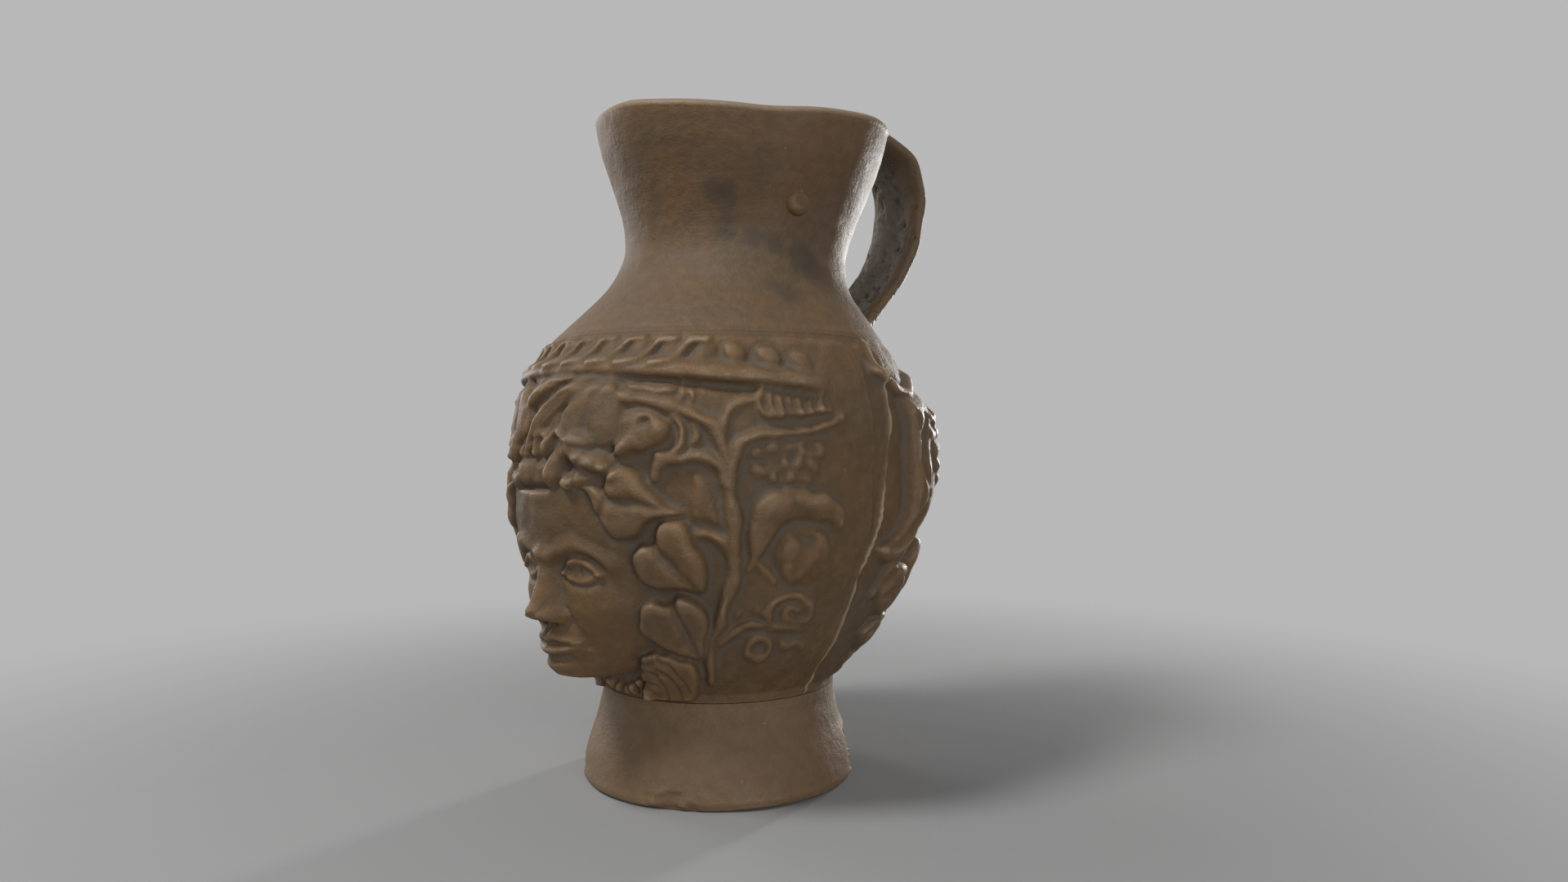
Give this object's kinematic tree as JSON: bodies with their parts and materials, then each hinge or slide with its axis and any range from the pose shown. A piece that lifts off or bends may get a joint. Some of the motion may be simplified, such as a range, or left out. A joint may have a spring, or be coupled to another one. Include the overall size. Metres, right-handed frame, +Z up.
{
  "type": "oinochoe",
  "caption": "Terracotta wine jug with a moulded head and vine relief on its body, a flaring foot, a leaning neck with a lightly pinched mouth and a strap handle.",
  "frame": {"origin": "centre of the flat underside of the base disc, which is the resting face", "axes": "+Z up, -Y the way the head looks, +Y towards the handle, +X to the right of the head as seen from the handle"},
  "size_m": [0.1222, 0.1618, 0.2069],
  "materials": {
    "body_clay": "matte unglazed terracotta with burial stains",
    "neck_clay": "matte unglazed terracotta with grey smudges",
    "foot_clay": "matte unglazed terracotta",
    "handle_clay": "matte unglazed terracotta, pitted inside",
    "inner_clay": "rough unglazed terracotta"
  },
  "bodies": {
    "root": {"base_disc": "foot_clay", "foot": "foot_clay", "front_half": "body_clay", "back_half": "body_clay", "neck": "neck_clay", "handle": "handle_clay", "neck_pellet": "neck_clay", "foot_joint_coil": "inner_clay", "neck_joint_coil": "inner_clay", "seam_coil_right": "inner_clay", "seam_coil_left": "inner_clay"}
  },
  "joints": []
}
